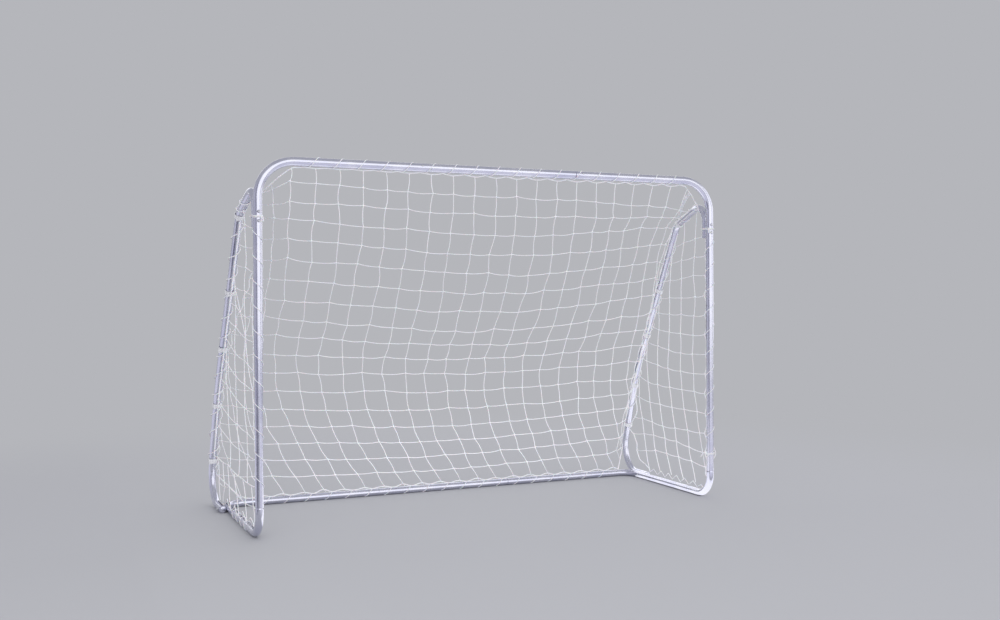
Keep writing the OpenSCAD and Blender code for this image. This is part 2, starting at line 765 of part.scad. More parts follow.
// Tie round each corner tube and the stay's hook, between the two bolts
module stadium(r_front, r_back, h) {
    circle(r = r_front);
    translate([h, 0]) circle(r = r_back);
    polygon([[0, -r_front], [h, -r_back], [h, r_back], [0, r_front]]);
}

module post_ties() {
    tie_w = 12;
    tie_z = goal_h - (bolt_drops[0] + bolt_drops[1]) / 2;
    color("white") for (side = [left, right]) sided(side) in_stay_plane()
        translate([0, 0, tie_z - tie_w / 2]) linear_extrude(tie_w) difference() {
            stadium(frame_d / 2 + seat + strap_t, frame_d / 2 + seat + strap_t, hook_h);
            stadium(frame_d / 2 + seat, frame_d / 2 + seat, hook_h);
        }
}

crossbar_middle();
corner(left);  // corner_left
corner(right);  // corner_right
post(left);  // post_left
post(right);  // post_right
base(left);  // base_left
base(right);  // base_right
rear_bar_middle();
stay_upper(left);  // stay_upper_left
stay_upper(right);  // stay_upper_right
stay_lower(left);  // stay_lower_left
stay_lower(right);  // stay_lower_right
stay_bolts();
stay_washers();
stay_nuts();
base_bolts();
base_washers();
base_nuts();
button_crossbar(left);  // button_crossbar_left
button_crossbar(right);  // button_crossbar_right
button_post(left);  // button_post_left
button_post(right);  // button_post_right
button_foot(left);  // button_foot_left
button_foot(right);  // button_foot_right
button_rear(left);  // button_rear_left
button_rear(right);  // button_rear_right
button_stay(left);  // button_stay_left
button_stay(right);  // button_stay_right
snap_springs();
net_roof();
net_back_upper();
net_back_lower();
net_skirt();
side_net(left);  // net_left
side_net(right);  // net_right
lace_crossbar();
lace_post(left);  // lace_post_left
lace_post(right);  // lace_post_right
straps(left, left_shoulder_strap, left_straps);  // straps_left
straps(right, right_shoulder_strap, right_straps);  // straps_right
post_ties();
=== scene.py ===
import bpy
import bmesh
import json
import math
import random
import numpy as np
from mathutils import Matrix, Vector


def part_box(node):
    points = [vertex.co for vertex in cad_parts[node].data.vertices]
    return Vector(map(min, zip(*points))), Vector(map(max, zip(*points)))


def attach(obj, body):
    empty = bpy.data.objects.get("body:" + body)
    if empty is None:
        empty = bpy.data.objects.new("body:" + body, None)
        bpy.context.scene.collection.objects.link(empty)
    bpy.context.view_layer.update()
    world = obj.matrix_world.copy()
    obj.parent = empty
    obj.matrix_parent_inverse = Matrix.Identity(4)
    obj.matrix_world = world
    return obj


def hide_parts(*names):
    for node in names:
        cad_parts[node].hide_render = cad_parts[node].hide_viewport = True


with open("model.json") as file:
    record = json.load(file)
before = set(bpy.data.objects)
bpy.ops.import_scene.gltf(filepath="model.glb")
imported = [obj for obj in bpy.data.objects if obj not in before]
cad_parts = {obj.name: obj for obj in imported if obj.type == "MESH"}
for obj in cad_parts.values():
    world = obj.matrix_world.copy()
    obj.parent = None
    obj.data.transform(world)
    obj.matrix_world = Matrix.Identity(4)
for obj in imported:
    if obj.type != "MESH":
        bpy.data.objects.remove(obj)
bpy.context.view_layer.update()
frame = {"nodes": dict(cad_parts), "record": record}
print("frame loaded")

mm = 0.001
sides = {"left": -1, "right": 1}


# where things are, read from the tubes themselves

def middle(node):
    low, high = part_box(node)
    return (low + high) / 2


frontY = middle("post_right").y
postX = middle("post_right").x / mm
crossbarZ = middle("crossbar_middle").z / mm
rearBar = middle("rear_bar_middle")
baseDepth = (rearBar.y - frontY) / mm
barZ = rearBar.z / mm


def place(p):
    # millimetres from the middle of the mouth to metres in the scene
    return Vector((p[0] * mm, frontY + p[1] * mm, p[2] * mm))


def newObject(name, data):
    made = bpy.data.objects.new(name, data)
    bpy.context.scene.collection.objects.link(made)
    return made


def newMesh(name, verts, faces, material):
    mesh = bpy.data.meshes.new(name)
    mesh.from_pydata(verts, [], faces)
    mesh.polygons.foreach_set("use_smooth", [True] * len(mesh.polygons))
    mesh.materials.append(material)
    return mesh


cameraSetup = {"spot": (-1827, -4121, 925), "yaw": 23.64, "pitch": -0.43, "roll": -0.29, "lens": 37.944}


def makeCamera(setup):
    yaw, pitch, roll = (math.radians(setup[k]) for k in ("yaw", "pitch", "roll"))
    ahead = Vector((math.sin(yaw) * math.cos(pitch), math.cos(yaw) * math.cos(pitch), math.sin(pitch)))
    right = Vector((math.cos(yaw), -math.sin(yaw), 0))
    up = right.cross(ahead)
    right, up = (right * math.cos(roll) + up * math.sin(roll), up * math.cos(roll) - right * math.sin(roll))
    data = bpy.data.cameras.new("camera")
    data.sensor_width = 36
    data.lens = setup["lens"]
    data.clip_end = 60
    camera = newObject("camera", data)
    turn = Matrix((right, up, -ahead)).transposed().to_4x4()
    camera.matrix_world = Matrix.Translation(place(setup["spot"])) @ turn
    bpy.context.scene.camera = camera


makeCamera(cameraSetup)


def colour(text):
    # an sRGB hex value as linear light
    parts = [int(text[i:i + 2], 16) / 255 for i in (1, 3, 5)]
    return tuple(c / 12.92 if c <= 0.04045 else ((c + 0.055) / 1.055) ** 2.4 for c in parts) + (1,)


def add(tree, kind, inputs=None, **settings):
    # one node, its settings, and its inputs as values or as links
    made = tree.nodes.new(kind)
    for name, value in settings.items():
        setattr(made, name, value)
    for key, value in (inputs or {}).items():
        if isinstance(value, bpy.types.NodeSocket):
            tree.links.new(value, made.inputs[key])
        else:
            made.inputs[key].default_value = value
    return made


def newMaterial(name):
    material = bpy.data.materials.new(name)
    material.use_nodes = True
    material.node_tree.nodes.clear()
    return material, material.node_tree


def finishMaterial(material, shader):
    add(material.node_tree, "ShaderNodeOutputMaterial", {"Surface": shader.outputs[0]})
    return material


def finishSurface(material, inputs):
    return finishMaterial(material, add(material.node_tree, "ShaderNodeBsdfPrincipled", inputs))


def blendColours(tree, factor, first, second):
    mixed = add(tree, "ShaderNodeMix", {0: factor, 6: first, 7: second}, data_type="RGBA")
    return mixed.outputs[2]


def rangeOf(tree, value, low, high, fromLow=0.0, fromHigh=1.0):
    mapped = add(tree, "ShaderNodeMapRange",
                 {"Value": value, "From Min": fromLow, "From Max": fromHigh, "To Min": low, "To Max": high})
    return mapped.outputs[0]


def maths(tree, operation, first, second=0.5):
    return add(tree, "ShaderNodeMath", {0: first, 1: second}, operation=operation).outputs[0]


def noise(tree, perMetre, detail):
    where = add(tree, "ShaderNodeTexCoord").outputs["Object"]
    return add(tree, "ShaderNodeTexNoise", {"Vector": where, "Scale": perMetre, "Detail": detail}).outputs[0]


def bumpOf(tree, height, strength, distance):
    made = add(tree, "ShaderNodeBump", {"Height": height, "Strength": strength, "Distance": distance})
    return made.outputs[0]


zincTube = {"plate": "#E6E6F1", "cool": "#D2D3E4", "dulled": "#F2F2F6", "dulling": 0.06, "roughness": (0.2, 0.3),
            "cloudMm": 110, "scuffMm": 2.5, "pitMm": 0.8, "pitDepth": 0.02}


def makeZinc(name, look):
    # bright zinc plate with a clear passivate on drawn steel tube: a cool lavender sheen that drifts a little
    # along the tube, softer where hands have dulled it, over a very faint orange peel
    material, tree = newMaterial(name)
    drift = noise(tree, 1000 / look["cloudMm"], 2.0)
    scuffs = noise(tree, 1000 / look["scuffMm"], 3.0)
    pits = noise(tree, 1000 / look["pitMm"], 1.0)
    plate = blendColours(tree, rangeOf(tree, drift, 0.0, 1.0, 0.3, 0.7), colour(look["cool"]), colour(look["plate"]))
    rubbed = rangeOf(tree, scuffs, 0.0, look["dulling"], 0.55, 0.75)
    smooth, dull = look["roughness"]
    return finishSurface(material, {
        "Base Color": blendColours(tree, rubbed, plate, colour(look["dulled"])), "Metallic": 1.0,
        "Roughness": rangeOf(tree, maths(tree, "MULTIPLY", drift, scuffs), smooth, dull, 0.15, 0.4),
        "Normal": bumpOf(tree, pits, look["pitDepth"], 0.0002)})


def makePlated(name, tint, rough):
    # barrel-plated small hardware: brighter than the tubes, with tumbling marks
    material, tree = newMaterial(name)
    marks = noise(tree, 900.0, 3.0)
    shade = blendColours(tree, rangeOf(tree, marks, 0.0, 1.0, 0.35, 0.65), colour(tint), colour("#F1F1F4"))
    return finishSurface(material, {
        "Base Color": shade, "Metallic": 1.0, "Roughness": rangeOf(tree, marks, rough, rough + 0.15),
        "Normal": bumpOf(tree, marks, 0.15, 0.0002)})


def makeCordFinish(name, light, dark, layMm, strands, sheen):
    # laid cord: strands that wind round the cord once for each lay length, with soft shade in their grooves
    material, tree = newMaterial(name)
    along = add(tree, "ShaderNodeAttribute", attribute_name="along").outputs["Fac"]
    around = add(tree, "ShaderNodeAttribute", attribute_name="around").outputs["Fac"]
    lay = maths(tree, "ADD", around, maths(tree, "MULTIPLY", along, 1000 / layMm))
    strand = maths(tree, "SINE", maths(tree, "MULTIPLY", lay, strands * math.tau))
    fluff = noise(tree, 700.0, 2.0)
    groove = rangeOf(tree, strand, 0.0, 1.0, -1.0, 0.2)
    yarn = blendColours(tree, groove, colour(dark), colour(light))
    worn = blendColours(tree, rangeOf(tree, fluff, 0.0, 0.25, 0.5, 0.8), yarn, colour("#FFFFFF"))
    return finishSurface(material, {
        "Base Color": worn, "Roughness": 0.62, "Sheen Weight": sheen, "Sheen Roughness": 0.4,
        "Normal": bumpOf(tree, maths(tree, "ADD", groove, fluff), 0.5, 0.0006),
        "Subsurface Weight": 0.1, "Subsurface Scale": 0.002})


def makeTape(name, ribMm, pickMm):
    # woven nylon tape with a looped face: fine ribs across it, crossed by the weft; its colour is darker where the
    # weave lies low, which is painted shade
    material, tree = newMaterial(name)
    weave = add(tree, "ShaderNodeUVMap", uv_map="weave").outputs[0]
    split = add(tree, "ShaderNodeSeparateXYZ", {0: weave}).outputs
    warp = maths(tree, "SINE", maths(tree, "MULTIPLY", split[0], math.tau * 1000 / ribMm))
    weft = maths(tree, "SINE", maths(tree, "MULTIPLY", split[1], math.tau * 1000 / pickMm))
    height = maths(tree, "ADD", maths(tree, "MULTIPLY", warp, weft), noise(tree, 900.0, 2.0))
    # painted shade: the face is darker where the weave lies low, with a little random mottling
    face = blendColours(tree, rangeOf(tree, height, 0.0, 1.0, -0.6, 1.4), colour("#D3D4DB"), colour("#FAFAFC"))
    return finishSurface(material, {"Base Color": face, "Roughness": 0.75, "Sheen Weight": 0.35,
                                    "Normal": bumpOf(tree, height, 0.5, 0.0004)})


zinc = makeZinc("bright_zinc_plate", zincTube)
fastenerPlate = makePlated("barrel_zinc_plate", "#B9BAC4", 0.22)
pinPlate = makePlated("polished_nickel_plate", "#D5D6DA", 0.12)
springStrip = makePlated("blued_spring_strip", "#4A4D57", 0.3)
twine = makeCordFinish("knotted_polyethylene_twine", "#FAFAFC", "#DCDDE6", 9.0, 3, 0.25)
braid = makeCordFinish("laid_polyester_cord", "#FCFCFD", "#DEDFE7", 11.0, 3, 0.35)
tape = makeTape("hook_and_loop_tape", 0.9, 1.2)

finishes = {"zinc_tube": zinc, "plated_fastener": fastenerPlate, "plated_pin": pinPlate, "spring_steel": springStrip,
            "net_twine": twine, "lacing_cord": braid, "hook_loop_tape": tape}
for entry in frame["record"]["subparts"]:
    mesh = frame["nodes"][entry["node"]].data
    mesh.materials.clear()
    mesh.materials.append(finishes[entry["material_slot"]])
print("materials made")


# every twine, rope and lace is a path that one node tree turns into a laid cord

def makeCordTree():
    tree = bpy.data.node_groups.new("laidCord", "GeometryNodeTree")
    face = tree.interface
    for name, kind in (("Geometry", "Geometry"), ("Radius", "Float"), ("Sides", "Int"), ("Knot Radius", "Float"),
                       ("Material", "Material")):
        face.new_socket(name, in_out="INPUT", socket_type="NodeSocket" + kind)
    face.new_socket("Geometry", in_out="OUTPUT", socket_type="NodeSocketGeometry")
    given = add(tree, "NodeGroupInput").outputs

    def step(kind, inputs, **settings):
        return add(tree, "GeometryNode" + kind, inputs, **settings).outputs[0]

    path = step("MeshToCurve", {"Mesh": given["Geometry"]})
    spot = add(tree, "GeometryNodeSplineParameter").outputs
    path = step("StoreNamedAttribute", {"Geometry": path, "Name": "along", "Value": spot["Length"]})
    ring = step("CurvePrimitiveCircle", {"Resolution": given["Sides"], "Radius": given["Radius"]})
    spot = add(tree, "GeometryNodeSplineParameter").outputs
    ring = step("StoreNamedAttribute", {"Geometry": ring, "Name": "around", "Value": spot["Factor"]})
    cord = step("CurveToMesh", {"Curve": path, "Profile Curve": ring, "Fill Caps": True})
    cord = step("SetShadeSmooth", {"Geometry": cord})
    isKnot = step("InputNamedAttribute", {"Name": "knot"}, data_type="BOOLEAN")
    ball = step("MeshIcoSphere", {"Radius": given["Knot Radius"], "Subdivisions": 2})
    ball = step("SetShadeSmooth", {"Geometry": ball})
    reaches = ((0, 0, 0), (6.2, 6.2, 6.2)), ((0.8, 0.7, 0.9), (1.15, 0.95, 1.4))
    turn, size = [add(tree, "FunctionNodeRandomValue", {0: low, 1: high, "Seed": 3},
                      data_type="FLOAT_VECTOR").outputs[0] for low, high in reaches]
    knots = step("InstanceOnPoints", {"Points": given["Geometry"], "Selection": isKnot, "Instance": ball,
                                      "Rotation": turn, "Scale": size})
    knots = step("RealizeInstances", {"Geometry": knots})
    both = add(tree, "GeometryNodeJoinGeometry")
    for part in (cord, knots):
        tree.links.new(part, both.inputs[0])
    dressed = step("SetMaterial", {"Geometry": both.outputs[0], "Material": given["Material"]})
    add(tree, "NodeGroupOutput", {"Geometry": dressed})
    return tree


cordTree = makeCordTree()


def plainMesh(source, name):
    # the evaluated mesh on an object of its own, with no modifier left
    bpy.context.view_layer.update()
    ready = source.evaluated_get(bpy.context.evaluated_depsgraph_get())
    mesh = bpy.data.meshes.new_from_object(ready)
    mesh.name = name
    piece = newObject(name, mesh)
    bpy.data.objects.remove(source)
    return piece


def cordPiece(name, paths, width, finish, sideCount=6, knots=(), knotWidth=7.0):
    # paths and knots are in millimetres from the middle of the mouth
    verts, edges = [], []
    for path in paths:
        first = len(verts)
        verts.extend(place(p) for p in path)
        edges.extend((k, k + 1) for k in range(first, len(verts) - 1))
    knotStart = len(verts)
    verts.extend(place(p) for p in knots)
    mesh = bpy.data.meshes.new(name + "Path")
    mesh.from_pydata(verts, edges, [])
    flag = mesh.attributes.new("knot", "BOOLEAN", "POINT")
    flag.data.foreach_set("value", [k >= knotStart for k in range(len(verts))])
    source = newObject(name + "Path", mesh)
    cord = source.modifiers.new("cord", "NODES")
    cord.node_group = cordTree
    values = {"Radius": width / 2 * mm, "Sides": sideCount, "Knot Radius": knotWidth / 2 * mm, "Material": finish}
    for socket in cordTree.interface.items_tree:
        if socket.in_out == "INPUT" and socket.name in values:
            cord[socket.identifier] = values[socket.name]
    return plainMesh(source, name)


# the stays' centreline, which the net's edges, straps and ties follow

stayShape = {"hookAhead": 34.3, "hookFoot": 1222, "hookRise": 75, "hookBend": 70, "fall": 20, "topRun": 146,
             "shoulderBend": 90, "slope": 60.01, "seamZ": 735, "bowLead": 62, "bowBend": 1900, "bowTurn": 12,
             "kneeBend": 124, "tubeRadius": 16, "splay": 3.4414}


def arcTurn(h, z, heading, radius, turn, count):
    # points of a bend, with the heading measured down from level
    centreH = h - radius * math.sin(heading)
    centreZ = z - radius * math.cos(heading)
    steps = [heading + turn * k / count for k in range(1, count + 1)]
    return [(centreH + radius * math.sin(a), centreZ + radius * math.cos(a)) for a in steps]


def straight(h, z, heading, run, count):
    return [(h + run * k / count * math.cos(heading), z - run * k / count * math.sin(heading))
            for k in range(1, count + 1)]


def stayLine(shape):
    heading = -math.pi / 2
    points = [(shape["hookAhead"], shape["hookFoot"] + shape["hookRise"] * k / 4) for k in range(5)]
    points += arcTurn(*points[-1], heading, shape["hookBend"], math.radians(90 + shape["fall"]), 22)
    heading = math.radians(shape["fall"])
    points += straight(*points[-1], heading, shape["topRun"], 8)
    slope = math.radians(shape["slope"])
    points += arcTurn(*points[-1], heading, shape["shoulderBend"], slope - heading, 10)
    run = (points[-1][1] - shape["seamZ"]) / math.sin(slope) + shape["bowLead"]
    points += straight(*points[-1], slope, run, 30)
    points += arcTurn(*points[-1], slope, shape["bowBend"], math.radians(shape["bowTurn"]), 20)
    low = slope + math.radians(shape["bowTurn"])
    kneeZ = shape["tubeRadius"] + shape["kneeBend"]
    run = (points[-1][1] - kneeZ - shape["kneeBend"] * math.cos(low)) / math.sin(low)
    points += straight(*points[-1], low, run, 8)
    points += arcTurn(*points[-1], low, shape["kneeBend"], math.pi - low, 24)
    return np.array(points)


stayPath = stayLine(stayShape)
stayRun = np.concatenate([[0], np.cumsum(np.linalg.norm(np.diff(stayPath, axis=0), axis=1))])
splay = math.radians(stayShape["splay"])


def stayAt(run):
    # centre and heading of the stay after that much of its length
    centre, ahead, back = (np.array([np.interp(run + step, stayRun, stayPath[:, k]) for k in range(2)])
                           for step in (0, 2, -2))
    along = ahead - back
    return centre, along / np.linalg.norm(along)


def runAtHeight(z):
    # where the stay passes a height on its way down
    start = int(np.argmax(stayPath[:, 1]))
    return float(np.interp(-z, -stayPath[start:, 1], stayRun[start:]))


def inStayPlane(side, h, z, outward=0.0):
    # from the plane that the stay lies in, with h back from the post, to the goal's own directions
    x = postX + h * math.sin(splay) + outward * math.cos(splay)
    y = h * math.cos(splay) - outward * math.sin(splay)
    return np.array([side * x, y, z])


def lineInPlane(side, line):
    return [inStayPlane(side, *p) for p in line]


# the back net, from its hang in the middle of the mouth to its ends on the stays

net = {"twine": 3.8, "mesh": 97.3, "rows": 18, "strands": 20, "shift": 10, "steps": 6, "jitter": 4.5, "sag": (1.0, 5.0),
       "clear": 18.6, "barClear": 19.5, "topZ": crossbarZ - 23.5, "topSlack": 3, "scallop": 9.0,
       "hangRows": 8, "hangDepth": 253, "hangPower": 2.2, "rowDrop": 82.4, "bunchRow": 11, "bunch": 29,
       "bunchRows": 1.8, "driftRow": 10, "drift": 320, "driftPower": 1.6, "flatTo": 905, "endPower": 1.25,
       "pull": 163, "pullRow": 4.5, "pullSpread": 3.4, "pullFrom": 350, "pullPower": 1.4, "pullPast": 30,
       "riseFrom": 150, "risePower": 1.1, "leftFrom": 100, "leftPower": 1.25, "leftRise": 62, "leftRows": 2.2,
       "topRuns": (132, 238, 330), "slopeRow": 3, "slopeTop": 1282, "kneeRow": 17, "slopeLow": 135,
       "cornerIn": 62, "edgeRoom": 22, "sway": (-2, 2), "strandSway": (-5.0, 5.0)}
rnd = random.Random(12)


def middleOfRow(row):
    last = net["hangRows"]
    if row <= last:
        return net["hangDepth"] * (row / last) ** net["hangPower"], net["topZ"] - net["rowDrop"] * row
    part = (row - last) / (net["rows"] - last)
    top = net["topZ"] - net["rowDrop"] * last
    low = barZ + net["barClear"]
    bunch = net["bunch"] * math.exp(-((row - net["bunchRow"]) / net["bunchRows"]) ** 2) * min(1, row - last)
    return net["hangDepth"] + (baseDepth - net["hangDepth"]) * part, top + (low - top) * part + bunch


def stayRunOfRow(row):
    # the first rows end on the stay's top run, the others down its slope
    first, last, top = net["slopeRow"], net["kneeRow"], net["slopeTop"]
    if row <= first:
        return float(np.interp(row, range(first + 1), [*net["topRuns"], runAtHeight(top)]))
    return runAtHeight(top + (net["slopeLow"] - top) * (row - first) / (last - first))


def endOfRow(row):
    # where a row meets the right stay, or the end of the rear bar
    last = net["kneeRow"]
    end = inStayPlane(1, *stayAt(stayRunOfRow(min(row, last)))[0], -net["clear"])
    if row <= last:
        return end
    corner = np.array([postX - net["cornerIn"], baseDepth, barZ + net["barClear"]])
    return end + (corner - end) * (row - last)


def ramp(values, start, end, power):
    return np.clip((values - start) / (end - start), 0, 1) ** power


def rowCurve(row):
    # a row is nearly flat across the mouth and runs back steeply to the stays at its ends; near the right stay
    # the net is drawn back a little earlier, and at the left the upper rows lie higher
    y, z = middleOfRow(row)
    end = endOfRow(row)
    flatTo, past = net["flatTo"], net["flatTo"] + net["pullPast"]
    xs = np.unique(np.concatenate([np.linspace(-end[0], end[0], 201), np.linspace(flatTo, end[0], 25),
                                   -np.linspace(flatTo, end[0], 25), [0.0]]))
    steep = ramp(np.abs(xs), flatTo, end[0], net["endPower"])
    pull = net["pull"] * math.exp(-((row - net["pullRow"]) / net["pullSpread"]) ** 2) * min(1.0, row)
    pull = min(pull, end[1] - y)
    early = pull * ramp(xs, net["pullFrom"], past, net["pullPower"])
    ys = y + early + (end[1] - y - np.where(xs > 0, pull, 0)) * steep
    rise = steep
    if row >= 1:
        rise = np.where(xs > 0, ramp(xs, net["riseFrom"], past, net["risePower"]), steep)
    zs = z + (end[2] - z) * rise
    lift = net["leftRise"] * (1 - math.exp(-row / net["leftRows"])) if row <= net["hangRows"] else end[2] - z
    zs += lift * ramp(-xs, net["leftFrom"], flatTo, net["leftPower"]) * (1 - steep)
    points = np.stack([xs, ys, zs], axis=1)
    gaps = np.diff(points, axis=0)
    flat = np.abs((points[1:, 0] + points[:-1, 0]) / 2) < flatTo
    run = np.concatenate([[0], np.cumsum(np.where(flat, gaps[:, 0], np.linalg.norm(gaps, axis=1)))])
    return points, run - np.interp(0, points[:, 0], run)


rowCurves = {}


def curveOf(row):
    key = round(row, 4)
    if key not in rowCurves:
        rowCurves[key] = rowCurve(row)
    return rowCurves[key]


def strandAt(strand, row):
    # how far along a row a strand crosses it; the low rows have slipped to the right
    past = max(0.0, row - net["driftRow"]) / (net["rows"] - net["driftRow"])
    return net["shift"] + net["mesh"] * (strand - (net["strands"] - 1) / 2) + net["drift"] * past ** net["driftPower"]


def scallop(x):
    # the selvedge under the crossbar is drawn up between the strands and sags at each, less so at the left
    deep = net["scallop"] * (0.4 + 0.6 * min(1, max(0, x / 600 + 1)))
    return deep * abs(math.cos(math.pi * (x - strandAt(net["strands"] // 2, 0)) / net["mesh"]))


def rowPoint(row, s):
    points, run = curveOf(row)
    p = np.array([np.interp(s, run, points[:, k]) for k in range(3)])
    if row == 0 and abs(p[0]) < net["flatTo"]:
        p[2] += net["topSlack"] - scallop(p[0])
    return p


def halfRow(row):
    return curveOf(row)[1][-1]


def slackPath(a, b, sag, sway):
    # one side of a mesh, a little longer than the gap it spans
    bow = 4 * np.array([sway, sway * 0.3, -sag])
    return [a + (b - a) * t + bow * t * (1 - t) for t in np.linspace(0, 1, net["steps"] + 1)]


def joinPaths(pieces):
    return list(pieces[0]) + [p for piece in pieces[1:] for p in piece[1:]]


def draw(pick, reach):
    return pick.uniform(*reach) if isinstance(reach, tuple) else reach


def tied(stops, pick, sag, sway):
    # a twine from knot to knot, each side of a mesh with its own slack
    return joinPaths([slackPath(a, b, draw(pick, sag), draw(pick, sway)) for a, b in zip(stops, stops[1:])])


strandRange = range(-9, 29)
knotSpot = {}
for strand in strandRange:
    for row in range(net["rows"] + 1):
        s = strandAt(strand, row)
        if abs(s) < halfRow(row) - net["edgeRoom"]:
            loose = net["jitter"] if 0 < row < net["rows"] else 0.0
            offset = np.array([rnd.gauss(0, loose), rnd.gauss(0, loose), rnd.gauss(0, loose * 0.7)])
            knotSpot[strand, row] = rowPoint(row, s) + np.clip(offset, -10, 10)

backPaths, backKnots = [], []
for row in range(1, net["rows"]):
    inside = [knotSpot[strand, row] for strand in strandRange if (strand, row) in knotSpot]
    stops = [rowPoint(row, -halfRow(row))] + inside + [rowPoint(row, halfRow(row))]
    backPaths.append(tied(stops, rnd, net["sag"], net["sway"]))
    backKnots.extend(inside)


def edgeCrossing(strand, inRow, outRow):
    # the point between two rows where a strand runs out of the net, on the stay
    low, high = float(inRow), float(outRow)
    for _ in range(12):
        half = (low + high) / 2
        if abs(strandAt(strand, half)) < halfRow(half):
            low = half
        else:
            high = half
    return rowPoint(low, math.copysign(halfRow(low), strandAt(strand, low)))


for strand in strandRange:
    rows = [row for row in range(net["rows"] + 1) if (strand, row) in knotSpot]
    if not rows:
        continue
    stops = [knotSpot[strand, row] for row in rows]
    if rows[0] > 0:
        stops.insert(0, edgeCrossing(strand, rows[0], rows[0] - 1))
    if rows[-1] < net["rows"]:
        stops.append(edgeCrossing(strand, rows[-1], rows[-1] + 1))
    backPaths.append(tied(stops, rnd, 0, net["strandSway"]))
netBack = cordPiece("netBack", backPaths, net["twine"], twine, knots=backKnots)
print("back net tied:", len(backPaths), "twines,", len(backKnots), "knots")


def stayFrame(side, run):
    # the stay's own directions at a place along it
    centre, along = stayAt(run)
    spot = inStayPlane(side, *centre)
    axis = inStayPlane(side, *(centre + along)) - spot
    axis /= np.linalg.norm(axis)
    out = inStayPlane(side, *centre, 1) - spot
    return spot, axis, out, np.cross(axis, out)


def wander(seed, count=4):
    # a gentle random wave between -1 and 1
    pick = random.Random(seed)
    parts = [(pick.uniform(0.7, 2.6), pick.uniform(0, math.tau)) for _ in range(count)]
    return lambda t: sum(math.sin(f * t + p) for f, p in parts) / count


# side nets: rows run from the post to the stay, strands hang across them and lean forward near the floor

sideGrid = {"postTop": 1232, "postDrop": 93, "topFall": 9, "rise": 56, "riseFrom": 3, "riseOver": 8.2,
            "topLimit": 1275, "lastPostZ": 142, "tilt": 0.05, "leanFrom": 600, "leanPower": 1.3, "dip": 5,
            "lift": 24, "liftFrom": 10, "bulge": 9, "postRoom": 16, "stayRoom": 14, "railZ": 35, "footZ": 56,
            "above": 60, "postSpread": 20, "off": 4.5, "offVaries": 4, "slackZ": 205, "firstFoot": (30, 104),
            "toothRun": 37, "toothZ": 57}
sideWays = {"left": {"rows": 11, "first": 112, "gap": 155, "strands": 4, "lean": 120, "loose": 7,
                     "postGap": 20.5, "bulge": (5, 15), "climb": 65, "gape": (0, 357, 58), "seed": 31},
            "right": {"rows": 13, "first": 147, "gap": 116, "strands": 6, "lean": 130, "loose": 3.5,
                      "postGap": 30, "bulge": (6, 19), "climb": 0, "gape": (50, 357, 58), "seed": 32}}
# the slack edge that cuts the low back corner of the right side, and the slack low edge of the left side
rightCorner = [(820, 238), (770, 214), (735, 168), (735, 130), (704, 88), (640, 71), (600, 55), (587, 37)]
leftSlack = [(756, 232), (640, 222), (549, 226), (427, 208), (273, 202), (129, 197), (26, 206)]
leftFan = [[(740, 228), (722, 120), (700, 46)], [(640, 222), (604, 120), (640, 35)],
           [(549, 226), (520, 130), (486, 35)], [(427, 208), (378, 120), (346, 35)],
           [(273, 202), (232, 110), (212, 35)], [(129, 197), (98, 120), (84, 42)],
           [(700, 120), (604, 120), (520, 130), (378, 120), (232, 110), (98, 120), (40, 116)],
           [(640, 35), (560, 74), (486, 35), (420, 70), (346, 35), (280, 68), (212, 35), (150, 66), (92, 40)]]
# the right side's last rows end on its slack back corner, at these heights
cornerRows = {11: 215, 12: 132}


def stayInner(z, off=0.0):
    # a point on the inside of the stay's slope, with room for the cord
    centre, along = stayAt(runAtHeight(z))
    return centre + np.array([along[1], -along[0]]) * (net["clear"] + off)


def postRow(row):
    return sideGrid["postTop"] - sideGrid["postDrop"] * row


def stayRow(row):
    # rows climb from the post to the stay in the middle heights, and fall a little near the top
    if row < sideGrid["riseFrom"]:
        return postRow(row) - sideGrid["topFall"] * (sideGrid["riseFrom"] - row)
    return postRow(row) + sideGrid["rise"] * math.sin(math.pi * (row - sideGrid["riseFrom"]) / sideGrid["riseOver"])


def makeBulges(ways):
    pick = random.Random(ways["seed"])
    return [pick.uniform(*ways["bulge"]) for _ in range(14)]


postBulges = {word: makeBulges(ways) for word, ways in sideWays.items()}


def postEdge(word, z):
    # how far behind the post's centre the net's edge stands: drawn out at each row, home at each lacing turn
    out = sum(b * math.exp(-((z - postRow(k)) / sideGrid["postSpread"]) ** 2)
              for k, b in enumerate(postBulges[word]))
    return sideWays[word]["postGap"] + out


stayWaves = {word: wander(ways["seed"] + 5) for word, ways in sideWays.items()}


def stayOff(word, z):
    # how far the net's edge stands off the stay, most where it gapes low on the right
    depth, at, spread = sideWays[word]["gape"]
    off = sideGrid["off"] + sideGrid["offVaries"] * stayWaves[word](z / 30)
    return off + depth * math.exp(-((z - at) / spread) ** 2)


def rowEnds(word, row):
    postZ, z = postRow(row), min(sideGrid["topLimit"], stayRow(row) + sideWays[word]["climb"])
    if row == max(cornerRows):
        postZ = sideGrid["lastPostZ"]
    atPost = postEdge(word, postZ), postZ
    if word == "right" and z < rightCorner[0][1]:
        hs, zs = np.array(rightCorner[::-1]).T
        return atPost, (np.interp(cornerRows[row], zs, hs), cornerRows[row])
    return atPost, tuple(stayInner(z, stayOff(word, z)))


def sideSpot(word, row, h):
    (h0, z0), (h1, z1) = rowEnds(word, row)
    t = min(1.0, max(0.0, (h - h0) / (h1 - h0)))
    bow = 4 * t * (1 - t)
    lift = sideGrid["lift"] if row > sideGrid["liftFrom"] else -sideGrid["dip"]
    return h, z0 + (z1 - z0) * t * t + lift * bow, -sideGrid["bulge"] * bow


def strandH(word, strand, z):
    ways = sideWays[word]
    h = ways["first"] + ways["gap"] * strand - sideGrid["tilt"] * max(0, z - sideGrid["leanFrom"])
    down = min(1.0, max(0.0, (sideGrid["leanFrom"] - z) / (sideGrid["leanFrom"] - sideGrid["footZ"])))
    return h - ways["lean"] * down ** sideGrid["leanPower"]


